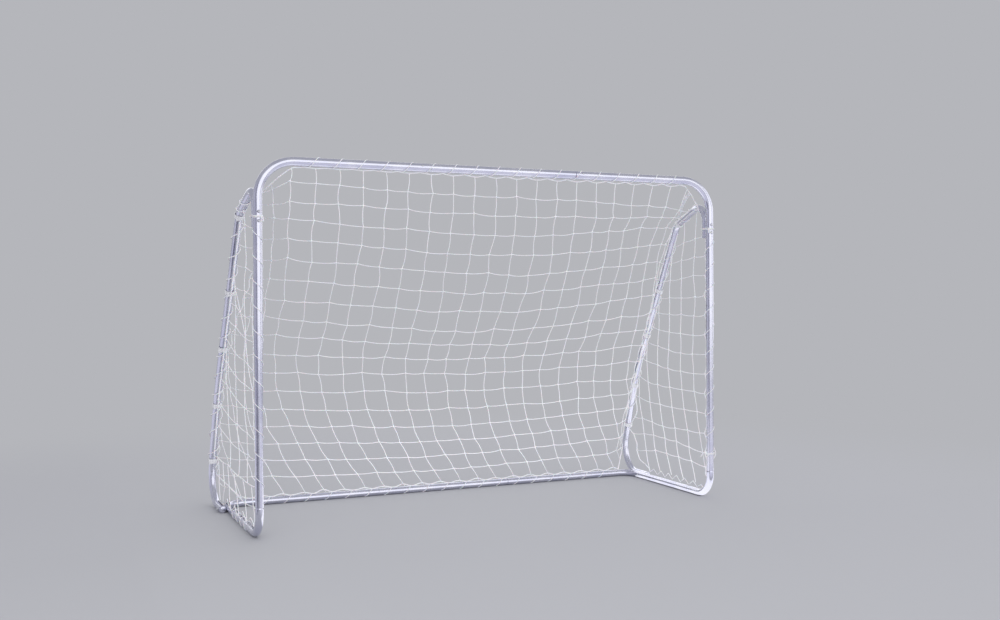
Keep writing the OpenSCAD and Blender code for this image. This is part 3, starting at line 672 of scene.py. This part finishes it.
def stayAbove(h):
    # the underside of the stay over a place in the side net
    top = int(np.argmax(stayPath[:, 0]))
    z = np.interp(h, stayPath[5:top, 0], stayPath[5:top, 1])
    slope = (np.interp(h + 4, stayPath[5:top, 0], stayPath[5:top, 1]) - z) / 4
    return float(z - net["clear"] * math.sqrt(1 + slope * slope))


def sideNet(word):
    side, ways = sides[word], sideWays[word]
    pick = random.Random(ways["seed"])
    paths, knots, spots = [], [], {}
    for row in range(ways["rows"]):
        (h0, z0), (h1, z1) = rowEnds(word, row)
        stops = []
        for strand in range(ways["strands"]):
            h = strandH(word, strand, postRow(row))
            h = strandH(word, strand, sideSpot(word, row, h)[1])
            if h0 + sideGrid["postRoom"] < h < h1 - sideGrid["stayRoom"]:
                loose = [pick.gauss(0, reach) for reach in (1.5, ways["loose"], ways["loose"])]
                spots[strand, row] = inStayPlane(side, *sideSpot(word, row, h)) + np.array(loose)
                stops.append(spots[strand, row])
        start, end = lineInPlane(side, ((h0, z0), (h1, z1)))
        knots += stops + [start, end]
        paths.append(tied([start] + stops + [end], pick, net["sag"], 0))
    for strand in range(ways["strands"]):
        rows = [row for row in range(ways["rows"]) if (strand, row) in spots]
        h = strandH(word, strand, postRow(rows[0]) + sideGrid["above"])
        stops = [inStayPlane(side, h, stayAbove(h))] + [spots[strand, row] for row in rows]
        if word == "right":
            h, z = strandH(word, strand, sideGrid["footZ"]), sideGrid["footZ"]
            if h < sideGrid["firstFoot"][0] + 10:
                h, z = sideGrid["firstFoot"]
        else:
            h = strandH(word, strand, sideGrid["slackZ"])
            z = np.interp(h, *np.array(leftSlack[::-1]).T)
        paths.append(tied(stops + [inStayPlane(side, h, z)], pick, 0, (-3, 3)))
    if word == "right":
        # the low edge rises to each strand and is tied down to the rail between them
        low, h, run = lineInPlane(side, rightCorner[-3:]), rightCorner[-1][0], sideGrid["toothRun"]
        while h > 120:
            tooth = (h - run, sideGrid["toothZ"] + pick.uniform(-6, 5))
            low += lineInPlane(side, (tooth, (h - 2 * run, sideGrid["railZ"])))
            h -= 2 * run + pick.uniform(-7, 7)
        return paths + [low], knots
    paths += [tied(lineInPlane(side, fan), pick, 2, (-4, 4)) for fan in leftFan]
    # here the slack net lies across itself in places
    for strand, row in [(1, 4), (0, 6)]:
        paths.append(slackPath(spots[strand + 1, row - 1], spots[strand, row + 1], 6, pick.uniform(-5, 5)))
    return paths, knots


for word, side in sides.items():
    paths, knots = sideNet(word)
    piece = cordPiece("net" + word.capitalize(), paths, net["twine"], twine, knots=knots)
    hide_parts("net_" + word)
    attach(piece, "frame")
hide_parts("net_roof", "net_back_upper", "net_back_lower", "net_skirt")
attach(netBack, "frame")
print("side nets tied")


# the net's selvedge along the crossbar, the posts, the stays and the rear bar

border = {"width": 5.0, "wave": 9.0, "flutter": 2.5, "topRun": (165, 400), "topRunOff": 19, "rearShift": 25,
          "rearRise": 9, "riseVaries": 5, "rearSway": 7, "sideTop": 1270, "postTop": 1262, "postLow": 100,
          "sideLow": {"left": 236, "right": 262}, "cornerX": 962, "ropeGap": 3.2,
          "corner": [(971, 75, 1414), (1000, 150, 1389), (1034, 225, 1357), (1056, 275, 1327)]}


def topEdge():
    reach = halfRow(0)
    return [rowPoint(0, -reach + 2 * reach * k / 240) + np.array([0, border["flutter"] * math.sin(k * 0.9), 0])
            for k in range(241)]


def backEdge(side):
    # at a stay the selvedge swings out between the rows
    for k in range(net["rows"] * 8 + 1):
        row = k / 8
        out = border["wave"] * math.sin(math.pi * row) ** 2 if row <= net["kneeRow"] else 0
        yield rowPoint(row, side * halfRow(row)) + np.array([-side * out, -out * 0.4, -out * 0.5])


def sideBackEdge(word):
    # along the stay, and on along the slack edge
    side, rest = sides[word], leftSlack if word == "left" else rightCorner
    heights = np.linspace(border["sideTop"], border["sideLow"][word], 150)
    points = lineInPlane(side, [stayInner(z, stayOff(word, z)) for z in heights])
    return joinPaths([points, tied([points[-1]] + lineInPlane(side, rest), None, 3, 1)])


def postEdgeLine(word):
    heights = np.linspace(border["postTop"], border["postLow"], 240)
    return lineInPlane(sides[word], [(postEdge(word, z), z) for z in heights])


def rearEdge():
    waves, reach = wander(77), postX - net["cornerIn"]
    for k in range(401):
        x = -reach + 2 * reach * k / 400
        share = 0.5 + 0.5 * math.cos(math.tau * (x + border["rearShift"]) / net["mesh"])
        rise = share * (border["rearRise"] + border["riseVaries"] * waves(x / 70))
        y = baseDepth - 6 + border["rearSway"] * waves(x / 24)
        yield x, y, barZ + net["barClear"] + rise - 1


def topRunEdge(side):
    # the net's upper corner lies along the inner underside of the stay's top run
    wave, (first, last) = wander(15 + side), border["topRun"]
    for k in range(61):
        run = first + (last - first) * k / 60
        spot, _, out, back = stayFrame(side, run)
        yield spot + (back * side * 0.6 - out * 0.8) * (border["topRunOff"] + 2.5 * wave(run / 18))


def cornerRope(shift):
    # one strand of the net's thick corner, drawn from the end of the crossbar down to the right stay's shoulder
    offset = np.array([shift, 0, -shift])
    stops = [rowPoint(0, border["cornerX"])] + [np.array(p, float) for p in border["corner"]]
    return tied([p + offset for p in stops], None, 2, 0)


edges = [topEdge(), rearEdge()] + [cornerRope(k * border["ropeGap"]) for k in (-1, 0, 1)]
for word, side in sides.items():
    edges += [backEdge(side), sideBackEdge(word), postEdgeLine(word), topRunEdge(side)]
netBorder = cordPiece("netBorder", edges, border["width"], twine, sideCount=8, knots=border["corner"][:2], knotWidth=15)
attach(netBorder, "frame")
print("border cords made")


# both stays run through the net's edge, whose meshes wind round the tube

stayWrap = {"width": 4.2, "turn": {"left": 98, "right": 150}, "slack": {"left": 7.0, "right": 4.0}, "from": 425,
            "low": {"left": 176, "right": 250}, "top": (228, 396), "topTurn": 84, "topSlack": 2.5, "steps": 22}


def wrapPath(side, start, end, turn, slack, seed):
    # a cord wound on the stay, its turns uneven and slack in places
    drift, lift, steps = wander(seed), wander(seed + 50), stayWrap["steps"]
    count = int((end - start) / turn * steps)
    a = random.Random(seed).uniform(0, 6)
    for k in range(count + 1):
        run = start + (end - start) * k / count
        spot, _, out, back = stayFrame(side, run)
        a += math.tau / steps * (1 + 0.45 * drift(run / 55))
        radius = stayShape["tubeRadius"] + stayWrap["width"] / 2 + 0.4 + slack * (0.5 + 0.5 * lift(run / 32))
        yield spot + (out * math.cos(a) + back * math.sin(a)) * radius


for word, side in sides.items():
    low = runAtHeight(stayWrap["low"][word])
    paths = [wrapPath(side, stayWrap["from"], low, stayWrap["turn"][word], stayWrap["slack"][word], 60 + side),
             wrapPath(side, *stayWrap["top"], stayWrap["topTurn"], stayWrap["topSlack"], 80 + side)]
    piece = cordPiece("netWrap" + word.capitalize(), paths, stayWrap["width"], twine, sideCount=7)
    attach(piece, "frame")
print("stay wraps made")


# lacing that holds the net to the crossbar, the posts and the rear bar

lace = {"width": 2.7, "gap": 0.4, "steps": 24, "wideRadius": 18, "slimRadius": 16, "flareZ": 702,
        "flareRise": 40, "postSlack": 4.0, "slackVaries": 2.5, "lowest": 2.0}
barLacing = {"crossbar": {"pitch": 98, "shift": -42, "reach": 892, "slack": 3.0, "radius": 18, "y": 0, "z": crossbarZ},
             "rear": {"pitch": 97.3, "shift": 0, "reach": postX - 90, "slack": 0, "radius": 16, "y": baseDepth,
                      "z": barZ}}
postLacing = {"left": {"top": 1210, "low": 150, "pitch": 95, "front": 1184},
              "right": {"top": 1222, "low": 137, "pitch": 96.5, "front": 1187}}
railLacing = {"from": 530, "pitch": 86, "turns": 4, "steps": 20, "x": 1047, "out": 0.016, "z": 16}


def laceRadius(tubeRadius):
    return tubeRadius + lace["gap"] + lace["width"] / 2


def barLace(ways):
    # turns round a bar, pressed flat where they pass under one that lies on the ground
    pitch = ways["pitch"]
    turns = int(2 * ways["reach"] / pitch)
    for k in range(turns * lace["steps"] + 1):
        x = -turns * pitch / 2 + k * pitch / lace["steps"]
        a = math.tau * (x - ways["shift"]) / pitch
        radius = laceRadius(ways["radius"]) + ways["slack"] * max(0.0, -math.sin(a)) ** 2
        yield x, ways["y"] - radius * math.cos(a), max(lace["lowest"], ways["z"] + radius * math.sin(a))


def postLace(word):
    # a turn round the post for each mesh, a little slack behind it where it takes up the net's edge
    side, ways = sides[word], postLacing[word]
    turns = int((ways["top"] - ways["low"]) / ways["pitch"])
    loose = wander(90 + side)
    for k in range(turns * lace["steps"] + 1):
        z = ways["top"] - k * ways["pitch"] / lace["steps"]
        a = math.tau * (z - ways["front"]) / ways["pitch"]
        above = min(1, max(0, (z - lace["flareZ"]) / lace["flareRise"]))
        radius = laceRadius(lace["slimRadius"] + (lace["wideRadius"] - lace["slimRadius"]) * above)
        radius += (lace["postSlack"] + lace["slackVaries"] * loose(z / 40)) * max(0.0, -math.cos(a)) ** 2
        yield side * (postX + radius * math.sin(a)), -radius * math.cos(a), z


def railLace(ways):
    # close turns round the left ground rail, pressed flat where they pass under it
    radius = laceRadius(lace["slimRadius"])
    for k in range(ways["turns"] * ways["steps"] + 1):
        h = ways["from"] - k * ways["pitch"] / ways["steps"]
        a = math.tau * k / ways["steps"]
        yield (-(ways["x"] + ways["out"] * h) + radius * math.cos(a), h,
               max(lace["lowest"], ways["z"] + radius * math.sin(a)))


for name, node, path in [("laceRailLeft", None, railLace(railLacing)),
                         ("laceCrossbar", "lace_crossbar", barLace(barLacing["crossbar"])),
                         ("lacePostLeft", "lace_post_left", postLace("left")),
                         ("lacePostRight", "lace_post_right", postLace("right")),
                         ("laceRearBar", None, barLace(barLacing["rear"]))]:
    piece = cordPiece(name, [path], lace["width"], braid, sideCount=8)
    if node:
        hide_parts(node)
    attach(piece, "frame")
print("lacing made")


# the lower ends of the stays are spun shut to a low dome

spunEnd = {"x": 1089.5, "h": 627.4, "z": 16, "radius": 15.4, "rise": 5.5, "rings": 5, "sides": 32}


def spunEnds(look):
    # a round dome of rings that closes to a tip, and a flat disc inside the tube
    verts, faces, count = [], [], look["sides"]
    for side in sides.values():
        first, last = len(verts), len(verts) + (look["rings"] - 1) * count
        for ring in range(look["rings"]):
            t = ring / look["rings"] * math.pi / 2
            r = look["radius"] * math.cos(t)
            for k in range(count):
                a = math.tau * k / count
                verts.append(place((side * look["x"] + r * math.cos(a), look["h"] - look["rise"] * math.sin(t),
                                    look["z"] + r * math.sin(a))))
        for h in (look["h"] - look["rise"], look["h"] + 0.5):
            verts.append(place((side * look["x"], h, look["z"])))
        for k in range(count):
            n = (k + 1) % count
            faces += [(low + k, low + n, low + count + n, low + count + k) for low in range(first, last, count)]
            faces += [(last + k, last + n, len(verts) - 2), (first + n, first + k, len(verts) - 1)]
    mesh = newMesh("spunEnds", verts, faces, zinc)
    work = bmesh.new()
    work.from_mesh(mesh)
    bmesh.ops.recalc_face_normals(work, faces=work.faces)
    work.to_mesh(mesh)
    work.free()
    return newObject("spunEnds", mesh)


ends = spunEnds(spunEnd)
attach(ends, "frame")
print("stay ends closed")


# hook-and-loop straps on the stays: one on each shoulder, the others by their heights

strap = {"width": 20, "thick": 1.6, "gap": 1.7, "wrap": 412, "tail": 20, "curl": 6, "bevel": 0.35, "steps": 46,
         "tilt": (-5, 5), "turned": (-18, 12), "widthVaries": (0.92, 1.04), "lapFrom": 345, "lapOver": 15,
         "lapTo": 1.25, "shoulder": {"left": 402.5, "right": 368}, "left": [975, 728, 467, 205],
         "right": [980, 752, 480, 260]}


def bandMesh(name, loops, finish):
    # each loop is a centre line, its sideways direction and a width; the band gets its thickness from Solidify
    verts, faces, weave = [], [], []
    for line, across, width in loops:
        first = len(verts)
        travelled = 0.0
        for k, p in enumerate(line):
            if k:
                travelled += float(np.linalg.norm(line[k] - line[k - 1]))
            for m in range(5):
                edge = (m / 4 - 0.5) * width
                verts.append(place(p + across * edge))
                weave.append((travelled * mm, (edge + width / 2) * mm))
        faces += [(a, a + 5, a + 6, a + 1) for k in range(len(line) - 1)
                  for a in range(first + k * 5, first + k * 5 + 4)]
    mesh = newMesh(name + "Band", verts, faces, finish)
    layer = mesh.uv_layers.new(name="weave")
    for loop in mesh.loops:
        layer.data[loop.index].uv = weave[loop.vertex_index]
    source = newObject(name + "Band", mesh)
    solid = source.modifiers.new("thickness", "SOLIDIFY")
    solid.thickness = strap["thick"] * mm
    solid.offset = 1
    rounded = source.modifiers.new("edges", "BEVEL")
    rounded.width = strap["bevel"] * mm
    rounded.segments = 2
    rounded.limit_method = "ANGLE"
    return plainMesh(source, name)


def strapLoop(side, run, seed):
    # once round the stay, over itself, and off in a short free tail that points away from the goal
    pick, steps = random.Random(seed), strap["steps"]
    spot, axis, out, back = stayFrame(side, run)
    tilt = math.radians(pick.uniform(*strap["tilt"]))
    start = math.radians(-strap["wrap"] - 90 + pick.uniform(*strap["turned"]))
    line = []
    for k in range(steps + 1):
        a = start + math.radians(strap["wrap"]) * k / steps
        lift = min(strap["lapTo"], max(0.0, math.degrees(a - start) - strap["lapFrom"]) / strap["lapOver"])
        puff = strap["gap"] * (1 + 0.5 * math.sin(3 * a + seed))
        radius = stayShape["tubeRadius"] + puff + strap["thick"] * lift
        spoke = out * math.cos(a) + back * math.sin(a)
        line.append(spot + spoke * radius + axis * (radius * math.sin(a - start) * math.sin(tilt)))
    end, away, spoke = line[-1], line[-1] - line[-2], line[-1] - spot
    away /= np.linalg.norm(away)
    spoke /= np.linalg.norm(spoke)
    line += [end + away * strap["tail"] * k / 6 + spoke * (k / 6) ** 2 * strap["curl"] for k in range(1, 7)]
    return line, axis, strap["width"] * pick.uniform(*strap["widthVaries"])


for word, side in sides.items():
    runs = [strap["shoulder"][word]] + [runAtHeight(z) for z in strap[word]]
    loops = [strapLoop(side, run, 40 + k * 7 + side) for k, run in enumerate(runs)]
    piece = bandMesh("straps" + word.capitalize(), loops, tape)
    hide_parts("straps_" + word)
    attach(piece, "frame")


postTie = {"z": 1262, "turns": 2, "width": 3.8, "radius": 20.6, "pitch": 4.5, "steps": 40,
           "tails": ((-5, 23.4), (5, 26)), "lowZ": 213, "lowRadius": 18.4, "lowPitch": 4.4, "lowCount": 61,
           "knot": (-12, 14, 1), "knotWidth": 11}


def tiePath(side):
    # turns of cord round the post and the stay's hook
    for k in range(postTie["turns"] * postTie["steps"] + 1):
        turned = k / postTie["steps"]
        a = math.tau * turned
        h = postTie["radius"] * math.sin(a) + (stayShape["hookAhead"] if math.sin(a) > 0 else 0)
        z = postTie["z"] - postTie["pitch"] * (turned - 1)
        yield inStayPlane(side, h, z, postTie["radius"] * math.cos(a))


def tieTails(side):
    # the tied-off ends hang beside the post
    return [[np.array([side * (postX - 14 + lean * t), -(15 + 6 * t), postTie["z"] + 3 - drop * t * t])
             for t in np.linspace(0, 1, 8)] for lean, drop in postTie["tails"]]


def lowTie():
    # the lacing's low end: two turns round the right post, two bent ends and the knot
    radius, pitch, along = postTie["lowRadius"], postTie["lowPitch"], np.linspace(0, 1, 9)
    turns = [(radius * math.sin(a), radius * math.cos(a), pitch * (1 - a / math.tau))
             for a in np.linspace(0, postTie["turns"] * math.tau, postTie["lowCount"])]
    front = [(18 + 12 * math.sin(math.pi * t), -4 + 6 * t, 22 - 52 * t) for t in along]
    rear = [(-6 - 8 * t, 17 + 40 * t, 6 - 30 * t * t) for t in along]
    base = np.array([postX, 0, postTie["lowZ"]])
    return [[base + np.array(p) for p in path] for path in (turns, front, rear, [postTie["knot"]])]


*lowPaths, lowKnots = lowTie()
postTies = cordPiece("postTies", [tiePath(-1), tiePath(1)] + tieTails(-1) + tieTails(1) + lowPaths, postTie["width"],
                     braid, sideCount=8, knots=lowKnots, knotWidth=postTie["knotWidth"])
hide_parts("post_ties")
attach(postTies, "frame")
print("straps and ties made")


# floor, backdrop and light

studio = {"floor": "#B5B6BA", "far": "#B5B6BB", "farFrom": 1.8, "farTo": 4.2, "radius": 16.0, "rings": 8,
          "sides": 96, "height": -0.0005, "ambient": "#F1F1F6", "ambientPower": 0.7}
# a card stands between two places and two heights, or lies between two corners at one height
cards = {"left": {"tint": "#ACACB8", "from": (-4.3, -5.6), "to": (-6.4, -3.0), "heights": (0.01, 4.2)},
         "farLeft": {"tint": "#D0D0DA", "from": (-6.4, -3.0), "to": (-6.9, 3.4), "heights": (0.01, 4.2)},
         "leftFloor": {"tint": "#74747F", "from": (-6.4, -4.0), "to": (-1.5, -0.35), "height": 0.002},
         "leftBackFloor": {"tint": "#E2E2EC", "from": (-6.4, -0.35), "to": (-1.5, 3.0), "height": 0.002},
         "backLow": {"tint": "#3C3C48", "from": (-1.6, 4.6), "to": (0.6, 4.6), "heights": (0.2, 1.9)},
         "frontFloor": {"tint": "#DCDCE6", "from": (-0.9, -4.0), "to": (3.4, -0.7), "height": 0.003}}


def seenDirectly(tree):
    # 1 for what the camera, a reflection or a clear part sees
    path = add(tree, "ShaderNodeLightPath").outputs
    seen = maths(tree, "MAXIMUM", path["Is Camera Ray"], path["Is Glossy Ray"])
    return maths(tree, "MAXIMUM", seen, path["Is Transmission Ray"])


def paperFloor(setup):
    # matt paper that keeps the shadow near the goal and turns into an even backdrop farther out
    material, tree = newMaterial("matt_paper_floor")
    paper = add(tree, "ShaderNodeBsdfPrincipled", {"Base Color": colour(setup["floor"]), "Roughness": 0.95,
                                                   "Specular IOR Level": 0.1})
    far = add(tree, "ShaderNodeEmission", {"Color": colour(setup["far"]), "Strength": 1.0})
    where = add(tree, "ShaderNodeTexCoord").outputs["Object"]
    distance = add(tree, "ShaderNodeVectorMath", {0: where}, operation="LENGTH").outputs["Value"]
    fade = add(tree, "ShaderNodeMapRange",
               {"Value": distance, "From Min": setup["farFrom"], "From Max": setup["farTo"]},
               interpolation_type="SMOOTHSTEP").outputs[0]
    backdrop = maths(tree, "MULTIPLY", fade, seenDirectly(tree))
    both = add(tree, "ShaderNodeMixShader", {0: backdrop, 1: paper.outputs[0], 2: far.outputs[0]})
    return finishMaterial(material, both)


def cardFinish(name, tint):
    # matt card: the eye sees only its light or dark, mirrored in the tubes
    return finishSurface(newMaterial(name)[0], {"Base Color": colour(tint), "Roughness": 1.0})


def stageMesh(name, verts, faces, material):
    piece = newObject(name, newMesh(name, verts, faces, material))
    return piece


def makeFloor(setup):
    # a round sheet of paper, a little below the goal
    ringCount, count = setup["rings"], setup["sides"]
    verts, faces = [(0, 0, setup["height"])], []
    for ring in range(1, ringCount + 1):
        r = setup["radius"] * ring / ringCount
        verts.extend((r * math.cos(math.tau * k / count), r * math.sin(math.tau * k / count), setup["height"])
                     for k in range(count))
    for k in range(count):
        n = (k + 1) % count
        faces.append((0, 1 + k, 1 + n))
        for low in range(1, 1 + (ringCount - 1) * count, count):
            faces.append((low + k, low + count + k, low + count + n, low + n))
    stageMesh("paper_floor", verts, faces, paperFloor(setup))


def cardCorners(look):
    (x0, y0), (x1, y1) = look["from"], look["to"]
    if "height" in look:
        z = look["height"]
        return [(x0, y0, z), (x1, y0, z), (x1, y1, z), (x0, y1, z)]
    low, high = look["heights"]
    return [(x0, y0, low), (x1, y1, low), (x1, y1, high), (x0, y0, high)]


def makeCards(setup):
    # cards that only reflections see: grey and pale at the left, a dark one behind, a pale one in front
    for name, look in setup.items():
        title = "card_" + name
        card = stageMesh(title, cardCorners(look), [(0, 1, 2, 3)], cardFinish(title, look["tint"]))
        card.visible_camera = False
        card.visible_diffuse = False
        card.visible_shadow = False


lamps = {"front": {"spot": (1.1, -6.4, 2.9), "aim": (1.1, 0, 1.2), "size": (10.4, 5.6), "power": 156},
         "right": {"spot": (6.4, -1.0, 2.2), "aim": (0, 0, 1.2), "size": (6.0, 4.0), "power": 58},
         "back": {"spot": (1.8, 6.6, 2.9), "aim": (0.6, 0, 1.0), "size": (9.0, 4.4), "power": 125},
         "bounce": {"spot": (0.5, -0.15, 0.004), "aim": (0.5, -0.15, 5), "size": (2.9, 0.8), "power": 6},
         "fill": {"spot": (-4.0, -5.0, 3.0), "aim": (0, 0, 0.8), "size": (4.0, 4.0), "power": 78, "mirrored": False},
         "sky": {"spot": (0.3, 0.4, 5.6), "aim": (0.3, 0.4, 0), "size": (8.0, 8.0), "power": 72, "mirrored": False}}


def makeLamps(setup):
    for name, look in setup.items():
        data = bpy.data.lights.new(name, "AREA")
        data.shape = "RECTANGLE"
        data.size, data.size_y = look["size"]
        data.energy = look["power"]
        lamp = newObject(name, data)
        toward = Vector(look["aim"]) - Vector(look["spot"])
        lamp.matrix_world = Matrix.Translation(look["spot"]) @ toward.to_track_quat("-Z", "Y").to_matrix().to_4x4()
        lamp.visible_camera = False
        lamp.visible_glossy = look.get("mirrored", True)


def makeWorld(setup):
    world = bpy.data.worlds.new("studio")
    bpy.context.scene.world = world
    world.use_nodes = True
    tree = world.node_tree
    tree.nodes.clear()
    ambient = add(tree, "ShaderNodeBackground",
                  {"Color": colour(setup["ambient"]), "Strength": setup["ambientPower"]})
    far = add(tree, "ShaderNodeBackground", {"Color": colour(setup["far"]), "Strength": 1.0})
    both = add(tree, "ShaderNodeMixShader", {0: seenDirectly(tree), 1: ambient.outputs[0], 2: far.outputs[0]})
    add(tree, "ShaderNodeOutputWorld", {"Surface": both.outputs[0]})


makeFloor(studio)
makeCards(cards)
makeLamps(lamps)
makeWorld(studio)
bpy.context.scene.view_settings.view_transform = "Standard"
print("studio set")
